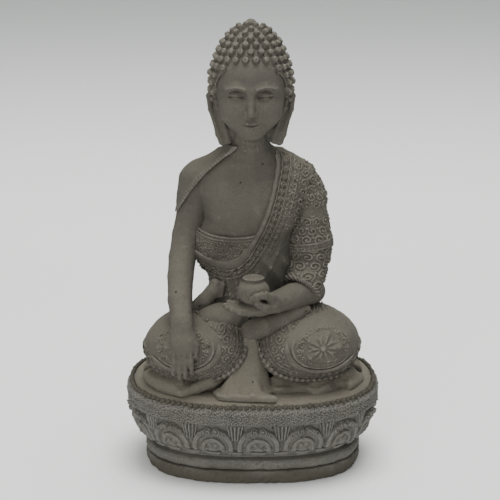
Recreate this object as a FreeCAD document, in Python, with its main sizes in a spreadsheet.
"""Seated robed figure on an oval lotus base, cast in concrete. Millimetres, +Z up, the face towards -Y.

The origin is the middle of the flat underside. Every sub-part is one sculpted form of the casting: the mouldings
and petals of the base, the cloth on the seat, the legs, the body and its robe, the arms and hands, the alms bowl
and the head. Neighbouring forms are cut back from each other, so they meet face to face.
"""

import FreeCAD, Part
import math
import os

from FreeCAD import Placement, Rotation, Vector

doc = FreeCAD.newDocument("SeatedFigure")
sheet = doc.addObject("Spreadsheet::Sheet", "Sizes")

SIZES = {
    # oval base, half widths along X and half depths along Y, levels along Z
    "foot_half_width": 49.0,
    "foot_half_depth": 39.0,
    "foot_top": 6.5,
    "band_top": 12.0,
    "groove_top": 14.0,
    "groove_inset": 2.6,
    "lotus_half_width": 57.3,
    "lotus_half_depth": 46.0,
    "drum_top": 30.0,
    "frieze_top": 38.0,
    "seat_top": 41.0,
    "petal_count": 16,
    "petal_half_width": 8.3,
    "petal_height": 13.0,
    "petal_bulge": 3.4,
    "petal_phase": 3.0,
    "bead_count": 118,
    "bead_radius": 1.0,
    # cloth lying on the seat
    "cloth_thickness": 2.2,
    "train_height": 5.0,
    # legs
    "knee_reach": 26.5,
    "knee_half_width": 22.3,
    "knee_half_depth": 23.5,
    "knee_half_height": 17.0,
    "knee_level": 56.0,
    "knee_forward": 13.0,
    "lap_half_width": 34.0,
    "lap_half_depth": 21.0,
    "lap_half_height": 24.0,
    "lap_level": 54.0,
    "lap_back": 9.0,
    "hem_radius": 2.1,
    "medallion_radius": 12.0,
    "foot_length": 34.0,
    "foot_radius": 5.6,
    # body
    "waist_half_width": 19.5,
    "waist_half_depth": 13.5,
    "chest_half_width": 25.0,
    "chest_half_depth": 15.0,
    "chest_level": 115.0,
    "shoulder_level": 130.0,
    "body_top": 143.0,
    "robe_thickness": 1.8,
    "edge_radius": 1.5,
    # arms
    "shoulder_radius": 8.6,
    "upper_arm_radius": 7.0,
    "forearm_radius": 5.8,
    "wrist_radius": 5.0,
    "palm_half_width": 5.6,
    "hand_length": 22.0,
    "finger_radius": 1.35,
    "sleeve_radius": 8.4,
    # alms bowl
    "bowl_radius": 7.4,
    "bowl_height": 12.5,
    "bowl_mouth": 4.2,
    "bowl_level": 83.5,
    "bowl_forward": 27.0,
    # head
    "neck_radius": 8.3,
    "neck_top": 154.0,
    "head_shift": -0.9,
    "face_half_width": 15.6,
    "face_half_depth": 17.4,
    "face_half_height": 20.5,
    "head_level": 172.0,
    "hair_half_width": 17.4,
    "hair_half_depth": 18.8,
    "hair_half_height": 21.5,
    "crown_half_width": 12.6,
    "crown_half_depth": 12.0,
    "crown_half_height": 14.6,
    "crown_level": 185.5,
    "curl_radius": 1.65,
    "curl_spacing": 3.9,
    "finial_radius": 3.0,
    "total_height": 203.0,
}

for row, (alias, value) in enumerate(SIZES.items(), start=1):
    sheet.set(f"A{row}", alias)
    sheet.set(f"B{row}", str(value))
    sheet.setAlias(f"B{row}", alias)
doc.recompute()

subparts = []


def size(alias):
    """The value of a cell of the sheet."""
    return float(getattr(sheet, alias))


def cell(text):
    """An expression in which each word that is an alias reads its cell."""
    words = []
    for word in text.split():
        words.append(f"Sizes.{word}" if word in SIZES else word)
    return " ".join(words)


def place(obj, x=0.0, y=0.0, z=0.0, turn=None):
    """Puts an object at a point. A coordinate given as text is an expression of the sheet's cells."""
    axes = {"x": x, "y": y, "z": z}
    fixed = [0.0 if isinstance(v, str) else v for v in axes.values()]
    obj.Placement = Placement(Vector(*fixed), turn or Rotation())
    for axis, value in axes.items():
        if isinstance(value, str):
            obj.setExpression(f"Placement.Base.{axis}", cell(value))
    return obj


def keep(obj, label):
    """Marks an object as a finished sub-part. Its Label names its file."""
    obj.Label = label
    subparts.append(obj)
    return obj


def oval(z, half_width, half_depth, x=0.0, y=0.0, turn=None):
    """A level ellipse, wider along X, whose sizes are expressions."""
    ring = doc.addObject("Part::Ellipse", "Oval")
    ring.setExpression("MajorRadius", cell(half_width))
    ring.setExpression("MinorRadius", cell(half_depth))
    return place(ring, x, y, z, turn)


def ring_at(centre, radius, direction):
    """A circle of a radius given by an expression, square to a direction."""
    ring = doc.addObject("Part::Circle", "Ring")
    ring.setExpression("Radius", cell(radius))
    turn = Rotation(Vector(0, 0, 1), Vector(*direction))
    return place(ring, *centre, turn=turn)


def loft(sections, name="Loft"):
    """A closed solid through a list of rings."""
    body = doc.addObject("Part::Loft", name)
    body.Sections = sections
    body.Solid = True
    body.Ruled = False
    return body


def limb(stations, name="Limb"):
    """A round limb through (x, y, z, radius) stations. Each ring is square to the way the limb runs there.

    Rings always face upwards along the limb, so that their seams line up."""
    rings = []
    if stations[-1][2] < stations[0][2]:
        stations = stations[::-1]
    for index, station in enumerate(stations):
        before = stations[max(index - 1, 0)]
        after = stations[min(index + 1, len(stations) - 1)]
        direction = [after[k] - before[k] for k in range(3)]
        rings.append(ring_at(station[:3], station[3], direction))
    return loft(rings, name)


def ellipsoid(x, y, z, half_width, half_depth, half_height, turn=None):
    """A whole ellipsoid. Sizes and places may be expressions."""
    ball = doc.addObject("Part::Ellipsoid", "Ellipsoid")
    ball.setExpression("Radius1", cell(half_height))
    ball.setExpression("Radius2", cell(half_width))
    ball.setExpression("Radius3", cell(half_depth))
    return place(ball, x, y, z, turn)


def box(x, y, z, length, width, height, turn=None):
    """A box from its low corner."""
    block = doc.addObject("Part::Box", "Block")
    block.Length = length
    block.Width = width
    block.Height = height
    return place(block, x, y, z, turn)


def cut(base, *tools):
    """The base less each tool in turn."""
    for tool in tools:
        step = doc.addObject("Part::Cut", "Cut")
        step.Base = base
        step.Tool = tool
        base = step
    return base


def common(base, tool):
    """What the base and the tool share."""
    step = doc.addObject("Part::Common", "Common")
    step.Base = base
    step.Tool = tool
    return step


def fuse(*shapes):
    """Several overlapping solids as one."""
    step = doc.addObject("Part::MultiFuse", "Fuse")
    step.Shapes = list(shapes)
    return step


def feature(shape, name="Feature"):
    """A sub-part whose shape is worked out with Part's own functions."""
    obj = doc.addObject("Part::Feature", name)
    obj.Shape = shape
    return obj


def flat_body(name, sketch_edges, plane_turn, offset, height):
    """A PartDesign body: one closed sketch on a turned plane, padded by a height."""
    body = doc.addObject("PartDesign::Body", name)
    sketch = body.newObject("Sketcher::SketchObject", name + "Sketch")
    origin = [f for f in body.Origin.OriginFeatures if f.Role == "XY_Plane"][0]
    sketch.AttachmentSupport = [(origin, "")]
    sketch.MapMode = "FlatFace"
    sketch.AttachmentOffset = Placement(offset, plane_turn)
    for edge in sketch_edges:
        sketch.addGeometry(edge, False)
    pad = body.newObject("PartDesign::Pad", name + "Pad")
    pad.Profile = sketch
    pad.setExpression("Length", cell(height))
    return body


def outline_edges(points):
    """A closed outline through points, as one smooth spline."""
    curve = Part.BSplineCurve()
    curve.interpolate([Vector(x, y, 0) for x, y in points], PeriodicFlag=True)
    return [curve]


# ---------------------------------------------------------------- base

def moulding(label, levels):
    """One oval moulding through (level, half width, half depth) expressions."""
    return keep(loft([oval(*level) for level in levels], "Moulding"), label)


def plinth():
    wide, deep = "foot_half_width", "foot_half_depth"
    moulding("plinth_foot", [
        ("0 * foot_top", f"{wide} - 1.6", f"{deep} - 1.6"),
        ("0.25 * foot_top", f"{wide} - 0.2", f"{deep} - 0.2"),
        ("0.75 * foot_top", wide, deep),
        ("foot_top", f"{wide} - 1.4", f"{deep} - 1.4"),
    ])
    moulding("plinth_band", [
        ("foot_top", f"{wide} - 1.4", f"{deep} - 1.4"),
        ("foot_top + 1.2", f"{wide} + 0.2", f"{deep} + 0.2"),
        ("band_top - 1.6", f"{wide} + 0.3", f"{deep} + 0.3"),
        ("band_top", f"{wide} - 1.6", f"{deep} - 1.6"),
    ])
    moulding("plinth_groove", [
        ("band_top", f"{wide} - groove_inset", f"{deep} - groove_inset"),
        ("groove_top", f"{wide} - groove_inset", f"{deep} - groove_inset"),
    ])


def lotus_drum():
    """The flared core that the petals stand on."""
    wide, deep = "lotus_half_width", "lotus_half_depth"
    return moulding("lotus_drum", [
        ("groove_top", f"{wide} - 9.0", f"{deep} - 6.6"),
        ("groove_top + 5.0", f"{wide} - 5.0", f"{deep} - 3.8"),
        ("groove_top + 10.0", f"{wide} - 3.2", f"{deep} - 2.4"),
        ("drum_top", f"{wide} - 2.0", f"{deep} - 1.6"),
    ])


def frieze_and_seat():
    wide, deep = "lotus_half_width", "lotus_half_depth"
    moulding("frieze_band", [
        ("drum_top", f"{wide} - 1.0", f"{deep} - 1.0"),
        ("drum_top + 3.0", wide, deep),
        ("frieze_top - 2.5", f"{wide} - 0.1", f"{deep} - 0.1"),
        ("frieze_top", f"{wide} - 1.6", f"{deep} - 1.6"),
    ])
    moulding("seat_deck", [
        ("frieze_top", f"{wide} - 3.4", f"{deep} - 3.4"),
        ("frieze_top + 1.5", f"{wide} - 3.8", f"{deep} - 3.8"),
        ("seat_top", f"{wide} - 6.0", f"{deep} - 6.0"),
    ])


def oval_stations(half_width, half_depth, count, phase):
    """Points spaced evenly along an ellipse from its front, with the outward direction at each."""
    curve = Part.Ellipse(Vector(), half_width, half_depth)
    length = curve.length()
    front = curve.length(0, 1.5 * math.pi)
    stations = []
    for index in range(count):
        along = (front + phase + index * length / count) % length
        parameter = curve.parameterAtDistance(along, 0)
        point = curve.value(parameter)
        outward = Vector(point.x / half_width**2, point.y / half_depth**2, 0).normalize()
        stations.append((point, outward))
    return stations


def ellipsoid_shape(half_x, half_y, half_z):
    """An ellipsoid at the origin as a bare shape."""
    ball = Part.makeSphere(1.0)
    matrix = FreeCAD.Matrix()
    matrix.scale(half_x, half_y, half_z)
    return ball.transformGeometry(matrix)


def petal_ring(label, level, inset, sizes, shift, behind, reach=0.0):
    """One ring of swelling bosses on the drum, kept between the groove and the frieze.

    Each boss is cut back to the drum and to the bosses already standing near it."""
    low, high = size("groove_top"), size("drum_top")
    boss = ellipsoid_shape(*sizes)
    wide = size("lotus_half_width") - inset
    deep = size("lotus_half_depth") - inset
    count = int(size("petal_count"))
    pitch = Part.Ellipse(Vector(), wide, deep).length() / count
    slab = Part.makeBox(200, 200, high - low, Vector(-100, -100, low))
    bosses = []
    for point, outward in oval_stations(wide, deep, count, size("petal_phase") + shift * pitch):
        angle = math.degrees(math.atan2(outward.y, outward.x)) + 90
        one = boss.copy()
        one.Placement = Placement(Vector(point.x, point.y, level), Rotation(Vector(0, 0, 1), angle))
        one = one.common(slab)
        for other in behind:
            if other.Volume > 1000 or other.CenterOfMass.distanceToPoint(point) < reach:
                one = one.cut(other)
        bosses.extend(solid for solid in one.Solids if solid.Volume > 1.0)
    keep(feature(Part.makeCompound(bosses), "Petals"), label)
    return bosses


def petals(drum):
    """Large rounded petals, the small ones showing between them, and the raised heart of each large one."""
    half, bulge, tall = size("petal_half_width"), size("petal_bulge"), size("petal_height")
    level = size("groove_top") + 2.5
    core = [drum.Shape]
    large = petal_ring("lotus_petals", level, 5.0, (half, bulge, tall), 0.0, core)
    petal_ring("petal_tips", size("drum_top") - 6.0, 3.6, (3.2, 1.8, 6.0), 0.5, core + large, 16.0)
    petal_ring("petal_hearts", level, 3.4, (0.52 * half, bulge, 0.55 * tall), 0.0, large, 14.0)


def bead_rim():
    """A string of beads round the edge of the seat."""
    radius = size("bead_radius")
    wide = size("lotus_half_width") - 2.5
    deep = size("lotus_half_depth") - 2.5
    stations = oval_stations(wide, deep, int(size("bead_count")), 0.0)
    centre = size("frieze_top") + radius
    beads = [Part.makeSphere(radius, Vector(point.x, point.y, centre)) for point, _ in stations]
    return keep(feature(Part.makeCompound(beads), "Beads"), "bead_rim")


# ---------------------------------------------------------------- cloth on the seat

def seat_cloths(legs):
    """The fan of cloth in front of the ankles, and the hems that trail from each leg and behind the back."""
    top = Vector(0, 0, size("seat_top"))
    fan = [(-19, -33), (-9, -36.5), (3, -37), (11, -35.5), (12, -31), (6, -25), (0, -18), (-7, -24), (-13, -29)]
    front = flat_body("FrontCloth", outline_edges(fan), Rotation(), top, "cloth_thickness")
    doc.recompute()
    keep(cut(front, *legs), "front_cloth")
    right = [(-49, -10), (-45, -19), (-37, -26), (-28, -31), (-21, -32), (-20, -29.5), (-24, -20), (-33, -8),
             (-42, -4)]
    right_train = flat_body("RightTrain", outline_edges(right), Rotation(), top, "cloth_thickness")
    left = [(13.5, -34), (22, -32), (30, -29.5), (39, -24), (46, -17), (49.5, -8), (42, -3), (33, -8), (22, -20),
            (14, -30)]
    left_train = flat_body("LeftTrain", outline_edges(left), Rotation(), top, "cloth_thickness")
    doc.recompute()
    keep(cut(right_train, *legs), "right_train")
    keep(cut(left_train, *legs), "left_train")


def back_train(blockers):
    """The robe's skirt gathered on the seat behind the body."""
    rings = [
        oval("seat_top", "lotus_half_width - 6.5", "lotus_half_depth - 6.5"),
        oval("seat_top + 0.6 * train_height", "lotus_half_width - 6.7", "lotus_half_depth - 6.7"),
        oval("seat_top + train_height", "lotus_half_width - 9.5", "lotus_half_depth - 9.5"),
    ]
    front = box(-80, -80, 0, 160, 81, 120)
    return keep(cut(loft(rings), front, *blockers), "back_train")


# ---------------------------------------------------------------- legs

def legs():
    """The lap, the two folded legs under the robe, and the feet on them."""
    ground = box(-100, -100, -100, 200, 200, 100)
    ground.setExpression("Height", cell("100 + seat_top"))
    lap = keep(cut(ellipsoid(0, "lap_back", "lap_level", "lap_half_width", "lap_half_depth", "lap_half_height"),
                   ground), "lap")
    knees = {}
    for label, side in (("right_leg", -1), ("left_leg", 1)):
        turn = Rotation(Vector(0, 0, 1), -14 * side)
        ball = ellipsoid(f"{side} * knee_reach", "0 - knee_forward", "knee_level", "knee_half_width",
                         "knee_half_depth", "knee_half_height", turn)
        knees[label] = ball
    right = keep(cut(knees["right_leg"], ground, lap), "right_leg")
    left = keep(cut(knees["left_leg"], ground, lap, right), "left_leg")
    return ground, lap, right, left


def feet(lap, right, left):
    """Each foot lies sole upwards on the other thigh."""
    sole = limb([(-9, -22, 62, "0.7 * foot_radius"), (-1, -25, 66, "0.95 * foot_radius"),
                 (10, -22, 71, "foot_radius"), (20, -17, 74, "0.85 * foot_radius"),
                 (25, -14, 75, "0.5 * foot_radius")], "Sole")
    right_foot = keep(cut(sole, lap, right, left), "right_foot")
    other = limb([(-4, -10, 69, "0.8 * foot_radius"), (-12, -14, 72, "foot_radius"),
                  (-20, -17, 73, "0.6 * foot_radius")], "OtherSole")
    left_foot = keep(cut(other, lap, right, left, right_foot), "left_foot")
    return right_foot, left_foot


def knee_trim(right, left, others):
    """The raised round panel on each knee and the rolled hem where the robe ends over each shin."""
    for label, side, leg in (("right", -1, right), ("left", 1, left)):
        disc = doc.addObject("Part::Cylinder", "Disc")
        disc.setExpression("Radius", cell("medallion_radius"))
        disc.Height = 60
        outward = Vector(0.28 * side, -1, 0.34)
        place(disc, side * 27.0, -10.0, 56.0, Rotation(Vector(0, 0, 1), outward))
        turn = Rotation(Vector(0, 0, 1), -14 * side)
        shell = ellipsoid(f"{side} * knee_reach", "0 - knee_forward", "knee_level", "knee_half_width + 0.9",
                          "knee_half_depth + 0.9", "knee_half_height + 0.9", turn)
        keep(cut(common(shell, disc), leg, *others), f"{label}_medallion")
    hems = {
        "right_hem": [(-5, -15.5, 70), (-1.5, -26, 64), (-1.8, -31, 55), (-5, -32.5, 48), (-13, -34, 44.6)],
        "left_hem": [(3.5, -26.5, 65), (4.5, -31.5, 56), (8, -34.3, 48.5), (15, -35.3, 44.6)],
    }
    for label, route in hems.items():
        roll = limb([(*point, "hem_radius") for point in route], "Hem")
        keep(cut(roll, right, left, *others), label)


# ---------------------------------------------------------------- body and robe

BODY_STATIONS = (
    # level, half width, half depth, place along Y
    ("64.0", "waist_half_width + 2.5", "waist_half_depth + 1.0", 6.0),
    ("82.0", "waist_half_width", "waist_half_depth", 4.0),
    ("98.0", "waist_half_width + 2.0", "waist_half_depth + 0.8", 2.0),
    ("chest_level", "chest_half_width - 1.0", "chest_half_depth", 0.5),
    ("shoulder_level", "chest_half_width + 1.0", "chest_half_depth - 2.0", 1.5),
    ("0.5 * shoulder_level + 0.5 * body_top", "chest_half_width - 7.0", "chest_half_depth - 4.0", 2.0),
    ("body_top", "neck_radius + 2.2", "neck_radius + 0.8", 2.0),
)


def body_loft(extra):
    """The body's outline, swollen all round by an expression."""
    rings = [oval(level, f"{wide} + {extra}", f"{deep} + {extra}", "0.6 * head_shift", y)
             for level, wide, deep, y in BODY_STATIONS]
    return loft(rings, "BodyLoft")


def chest_opening(name):
    """What the robe leaves bare: the right side of the chest, from the neck down to the rolled edge."""
    points = [(-30, 152), (-6, 152), (9.5, 145), (9.5, 136), (6, 124), (1, 110), (-3, 101), (-12, 96), (-24, 98),
              (-34, 104), (-36, 130)]
    edges = [Part.LineSegment(Vector(*a, 0), Vector(*b, 0)) for a, b in zip(points, points[1:] + points[:1])]
    turn = Rotation(Vector(1, 0, 0), 90)
    return flat_body(name, edges, turn, Vector(0, 0, 0), "2.5 * lotus_half_depth")


def body_and_robe(lap, seated):
    """The robe is the whole clothed body. The bare chest is let into its front and sits a robe's thickness back."""
    robe = keep(cut(body_loft("robe_thickness"), chest_opening("RobeOpening"), lap, *seated), "robe_body")
    bare = keep(common(body_loft("0.0"), chest_opening("ChestOpening")), "bare_chest")
    route = [(9.6, -8.5, 143), (10.4, -13.2, 136), (7.0, -16.4, 125), (3.4, -17.8, 115), (-0.6, -18.2, 105),
             (-6.5, -17.6, 98), (-14, -15.2, 96), (-20.5, -10, 97.5), (-24, -4, 99)]
    edge = keep(cut(limb([(*point, "edge_radius") for point in route], "Edge"), bare, robe), "robe_edge")
    band = [(-18.5, -12.2, 110.5), (-12, -14.8, 106.5), (-5, -16.0, 106), (1.0, -15.9, 109.5)]
    sash = limb([(x, y, z, "2.9") for x, y, z in band], "Sash")
    keep(cut(sash, bare, robe, edge), "chest_sash")
    return bare, robe, edge


# ---------------------------------------------------------------- arms, hands and bowl

def right_arm(body, robe, edge):
    """The bare arm that reaches down over the shin, and the fold of robe on its shoulder."""
    elbow = 100.0
    wrist = 72.5
    upper = limb([(-25.4, 3.0, 128, "0.8 * shoulder_radius"), (-26.6, 2.0, 121, "shoulder_radius - 1.8"),
                  (-29.0, 0.0, 112, "upper_arm_radius - 0.4"), (-31.0, -4.0, 100, "upper_arm_radius - 0.4"),
                  (-31.4, -6.0, 96, "upper_arm_radius - 0.6")], "UpperArm")
    above = box(-60, -60, elbow, 60, 90, 50)
    upper = cut(common(upper, above), body, robe, edge)
    doc.recompute()
    whole = max(upper.Shape.Solids, key=lambda solid: solid.Volume)
    upper = keep(feature(whole, "UpperArmOneSolid"), "right_upper_arm")
    fore = limb([(-30.8, -2.0, 103, "upper_arm_radius - 0.4"), (-31.4, -6.0, 97, "upper_arm_radius - 0.6"),
                 (-32.3, -13.0, 89, "forearm_radius"), (-32.0, -23.5, 80.0, "wrist_radius + 0.4"),
                 (-30.8, -30.5, 73.0, "wrist_radius"), (-30.6, -33.0, 68.0, "wrist_radius")], "Forearm")
    between = box(-60, -60, wrist, 60, 90, elbow - wrist)
    fore = keep(common(fore, between), "right_forearm")
    drape = limb([(-9.5, 3, 143, "2.2"), (-19.5, 2.5, 139.6, "3.0"), (-28.8, 2.5, 131.8, "3.2"),
                  (-32.8, 2.5, 122, "3.0"), (-35.0, 1.0, 112.5, "1.8")], "ShoulderFold")
    keep(cut(drape, upper, body, robe), "shoulder_drape")
    return upper, fore


def right_hand():
    """The flat hand with its fingers pointing down, lying against the front of the shin."""
    palm = loft([
        oval(72.5, "wrist_radius", "0.9 * wrist_radius", -30.8, -31.6),
        oval(69.0, "palm_half_width", "0.55 * wrist_radius", -30.8, -34.2),
        oval(63.0, "palm_half_width", "0.45 * wrist_radius", -30.8, -37.0),
        oval(60.0, "palm_half_width - 0.3", "0.4 * wrist_radius", -30.8, -38.1),
    ], "Palm")
    keep(palm, "right_palm")
    above = box(-60, -60, 60, 60, 60, 20)
    fingers = []
    for index, share in enumerate((0.86, 1.0, 0.97, 0.8)):
        x = -34.5 + 2.5 * index
        tip = 60.0 - 9.0 * share
        finger = limb([(x, -38.1, 61.0, "finger_radius"), (x, -38.1, 58.5, "finger_radius"),
                       (x * 0.99, -37.9, tip + 1.0, "finger_radius"), (x * 0.985, -37.4, tip,
                       "0.7 * finger_radius")], "Finger")
        fingers.append(cut(finger, above))
    fingers.append(limb([(-24.6, -34.0, 68.5, "1.4"), (-24.2, -36.2, 63.5, "1.4"), (-24.0, -37.4, 59.5, "1.0")],
                        "Thumb"))
    doc.recompute()
    keep(feature(Part.makeCompound([finger.Shape for finger in fingers]), "RightFingers"), "right_fingers")
    return palm


def alms_bowl():
    """A round bowl with a drawn-in mouth, turned about its own axis, with a shallow hollow in its top."""
    body = doc.addObject("PartDesign::Body", "AlmsBowl")
    sketch = body.newObject("Sketcher::SketchObject", "BowlProfile")
    plane = [f for f in body.Origin.OriginFeatures if f.Role == "XZ_Plane"][0]
    sketch.AttachmentSupport = [(plane, "")]
    sketch.MapMode = "FlatFace"
    radius, tall, mouth = size("bowl_radius"), size("bowl_height"), size("bowl_mouth")
    hollow = 1.6
    lip = 0.7
    floor = Vector(0, 0, 0)
    foot = Vector(0.45 * radius, 0, 0)
    belly = Vector(radius, 0.45 * tall, 0)
    neck = Vector(mouth + 0.6, tall - 1.4, 0)
    rim = Vector(mouth + lip, tall, 0)
    inner = Vector(mouth - 0.5, tall, 0)
    inside = Vector(mouth - 0.9, tall - hollow, 0)
    middle = Vector(0, tall - hollow, 0)
    lower = Part.Arc(foot, Vector(0.86 * radius, 0.16 * tall, 0), belly)
    upper = Part.Arc(belly, Vector(0.88 * radius, 0.76 * tall, 0), neck)
    for edge in (Part.LineSegment(floor, foot), lower, upper, Part.LineSegment(neck, rim),
                 Part.LineSegment(rim, inner), Part.LineSegment(inner, inside), Part.LineSegment(inside, middle),
                 Part.LineSegment(middle, floor)):
        sketch.addGeometry(edge, False)
    turned = body.newObject("PartDesign::Revolution", "BowlTurned")
    turned.Profile = sketch
    turned.ReferenceAxis = (sketch, ["V_Axis"])
    turned.Angle = 360
    place(body, 0, "0 - bowl_forward", "bowl_level")
    return keep(body, "alms_bowl")


def left_arm(body, robe, bowl, blockers):
    """The sleeved arm, its two bands, the bare forearm and the hand under the bowl."""
    upper = limb([(17.5, 2.5, 134.5, "0.8 * shoulder_radius"), (23.0, 2.5, 126, "sleeve_radius"),
                  (24.8, 1.5, 114, "sleeve_radius"), (25.9, 0.0, 103.5, "sleeve_radius")], "UpperSleeve")
    upper = keep(cut(upper, body, robe), "left_upper_sleeve")
    band = limb([(25.9, 0.0, 103.5, "sleeve_radius + 0.9"), (26.1, -0.6, 100.5, "sleeve_radius + 0.9")], "Band")
    band = keep(cut(band, upper, body, robe), "sleeve_band")
    lower = limb([(26.1, -0.6, 100.5, "sleeve_radius"), (25.8, -3.5, 93, "sleeve_radius - 0.3"),
                  (22.8, -8.0, 87.5, "sleeve_radius - 0.2"), (18.8, -13.0, 86.0, "sleeve_radius - 0.6")],
                 "LowerSleeve")
    lower = keep(cut(lower, band, body, robe, *blockers), "left_lower_sleeve")
    cuff = limb([(18.8, -13.0, 86.0, "sleeve_radius"), (17.6, -14.6, 85.8, "sleeve_radius - 0.2")], "Cuff")
    cuff = keep(cut(cuff, lower, body, robe, *blockers), "sleeve_cuff")
    fore = limb([(17.6, -14.6, 85.8, "forearm_radius + 0.4"), (13.5, -20.0, 85.5, "wrist_radius + 0.6"),
                 (9.5, -24.5, 85.0, "wrist_radius - 0.4")], "LeftForearm")
    fore = keep(cut(fore, cuff, body, robe, bowl, *blockers), "left_forearm")
    palm = ellipsoid(-1.0, -26.5, 81.6, "1.9 * palm_half_width", "1.15 * palm_half_width",
                     "0.5 * palm_half_width", Rotation(Vector(0, 1, 0), -4))
    palm = keep(cut(palm, bowl, fore, body, robe, *blockers), "left_palm")
    thumb = limb([(9.0, -28.4, 87.4, "1.9"), (5.5, -33.4, 88.6, "1.6"), (2.0, -35.2, 88.9, "1.1")], "LeftThumb")
    keep(cut(thumb, bowl, fore, palm), "left_thumb")
    return upper, lower, fore, palm


# ---------------------------------------------------------------- head

def head_and_hair():
    """The neck, the head, the long ears and the close cap of curls with its raised crown."""
    shift = "head_shift"
    head = ellipsoid(shift, -4.5, "head_level", "face_half_width", "face_half_depth", "face_half_height")
    neck_rings = [
        oval("body_top", "neck_radius + 2.2", "neck_radius + 0.8", "0.6 * head_shift", 2.0),
        oval("body_top + 4.0", "neck_radius + 0.2", "neck_radius", shift, 1.0),
        oval("neck_top", "neck_radius", "neck_radius - 0.2", shift, -0.5),
        oval("neck_top + 6", "neck_radius + 0.4", "neck_radius", shift, -1.0),
    ]
    keep(cut(loft(neck_rings, "Neck"), head), "neck")
    skull = ellipsoid(shift, 0, "head_level + 1.0", "hair_half_width", "hair_half_depth", "hair_half_height")
    face_side = box(-40, -60, 100, 80, 54, 76.5)
    brow = box(-40, -60, 100, 80, 46, 88)
    nape = box(-40, -60, 100, 80, 120, 58)
    cap = keep(cut(skull, head, face_side, brow, nape), "hair_cap")
    keep(head, "head")
    ears = {}
    for label, side in (("right_ear", -1), ("left_ear", 1)):
        rim = [(16.6, -3.0, 176.5, "1.2"), (18.2, -3.4, 171.5, "2.1"), (16.3, -4.6, 162, "1.8"),
               (13.8, -5.4, 154.5, "2.0"), (12.9, -5.6, 150, "1.3")]
        route = [(side * x - 0.9, y, z, r) for x, y, z, r in rim]
        ears[label] = keep(cut(limb(route, "Ear"), head, cap), label)
    dome = ellipsoid(shift, 2.0, "crown_level", "crown_half_width", "crown_half_depth", "crown_half_height")
    crown = keep(cut(dome, cap, head), "crown_mound")
    finial = ellipsoid(shift, 2.0, "total_height - 2.2", "finial_radius", "finial_radius", "2.2")
    keep(cut(finial, crown), "finial")
    doc.recompute()
    return curls()


def curl_centres():
    """Rows of curls over the cap and the crown, each row turned half a curl from the last.

    A centre lies on the skull's ellipsoid or on the crown's, whichever is outside there."""
    shift = size("head_shift")
    spacing = size("curl_spacing")
    domes = [
        (Vector(shift, 0, size("head_level") + 1.0),
         (size("hair_half_width"), size("hair_half_depth"), size("hair_half_height"))),
        (Vector(shift, 2.0, size("crown_level")),
         (size("crown_half_width"), size("crown_half_depth"), size("crown_half_height"))),
    ]
    centres = []
    for index, (middle, (wide, deep, tall)) in enumerate(domes):
        rows = int(round(0.5 * math.pi * math.sqrt(wide * tall) / (0.87 * spacing)))
        lowest = -rows // 2 if index == 0 else 0
        for row in range(lowest, rows):
            lift = 0.5 * math.pi * (row + 0.5) / rows
            round_length = 2 * math.pi * math.cos(lift) * math.sqrt(0.5 * (wide**2 + deep**2))
            number = max(1, int(round_length / spacing))
            for step in range(number):
                angle = 2 * math.pi * (step + 0.5 * (row % 2)) / number
                point = middle + Vector(wide * math.cos(lift) * math.sin(angle),
                                        -deep * math.cos(lift) * math.cos(angle), tall * math.sin(lift))
                centres.append((index, point))
    return domes, centres


def inside_dome(point, dome, margin=1.0):
    """How far inside an ellipsoid a point is, as the squared share of its radius."""
    middle, radii = dome
    offset = point - middle
    share = (offset.x / radii[0]) ** 2 + (offset.y / radii[1]) ** 2 + (offset.z / radii[2]) ** 2
    return share < margin


def on_hair(point):
    """Above the hairline, which drops from the brow to behind the ears and the nape."""
    y_brow, y_ear = -14.0, -6.0
    z_brow, z_ear, z_nape = 188.5, 177.5, 160.0
    if point.y < y_brow:
        return point.z > z_brow
    if point.y < y_ear:
        share = (point.y - y_brow) / (y_ear - y_brow)
        return point.z > z_brow + share * (z_ear - z_brow)
    return point.z > z_nape + 2.0


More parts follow.
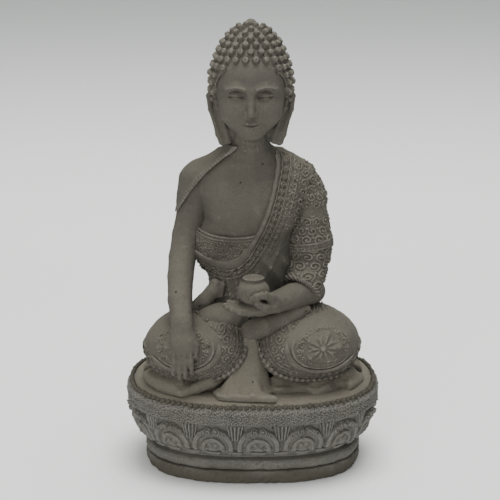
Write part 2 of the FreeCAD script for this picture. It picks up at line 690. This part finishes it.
def curls():
    """Separate half domes, one for each curl, each standing square on the cap or the crown."""
    radius = size("curl_radius")
    domes, centres = curl_centres()
    kept = []
    shapes = []
    for index, point in centres:
        middle, radii = domes[index]
        if inside_dome(point, domes[1 - index], 1.15) or not on_hair(point):
            continue
        if any((point - before).Length < 2.02 * radius for before in kept):
            continue
        kept.append(point)
        offset = point - middle
        normal = Vector(offset.x / radii[0] ** 2, offset.y / radii[1] ** 2, offset.z / radii[2] ** 2)
        dome = Part.makeSphere(radius, Vector(), Vector(0, 0, 1), 0, 90, 360)
        dome.Placement = Placement(point, Rotation(Vector(0, 0, 1), normal))
        shapes.append(dome)
    return keep(feature(Part.makeCompound(shapes), "Curls"), "hair_curls")


# ---------------------------------------------------------------- build and write

def build():
    plinth()
    drum = lotus_drum()
    doc.recompute()
    petals(drum)
    frieze_and_seat()
    bead_rim()
    _, lap, right_leg, left_leg = legs()
    right_foot, left_foot = feet(lap, right_leg, left_leg)
    seated = (right_leg, left_leg, right_foot, left_foot)
    body, robe, edge = body_and_robe(lap, seated)
    upper, fore = right_arm(body, robe, edge)
    palm = right_hand()
    bowl = alms_bowl()
    left_arm(body, robe, bowl, (right_foot,))
    knee_trim(right_leg, left_leg, (right_foot, fore, palm))
    doc.recompute()
    seat_cloths((right_leg, left_leg))
    back_train((lap, right_leg, left_leg))
    head_and_hair()
    doc.recompute()


def check_and_write():
    """Stops on any failed object or bad shape, then writes one STEP file for each sub-part."""
    for obj in doc.Objects:
        if "Invalid" in obj.State or "Error" in obj.State:
            raise RuntimeError(f"{obj.Name} ({obj.Label}) failed: {obj.State}")
    os.makedirs("parts", exist_ok=True)
    for old in os.listdir("parts"):
        os.remove(os.path.join("parts", old))
    for obj in subparts:
        shape = obj.Shape
        if shape.isNull() or not shape.isValid() or not shape.Solids:
            raise RuntimeError(f"{obj.Label} has a bad shape")
        print(f"{obj.Label:20s} {len(shape.Solids):4d} solids {shape.Volume:10.1f} mm3")
        shape.exportStep(os.path.join("parts", obj.Label + ".step"))


build()
check_and_write()
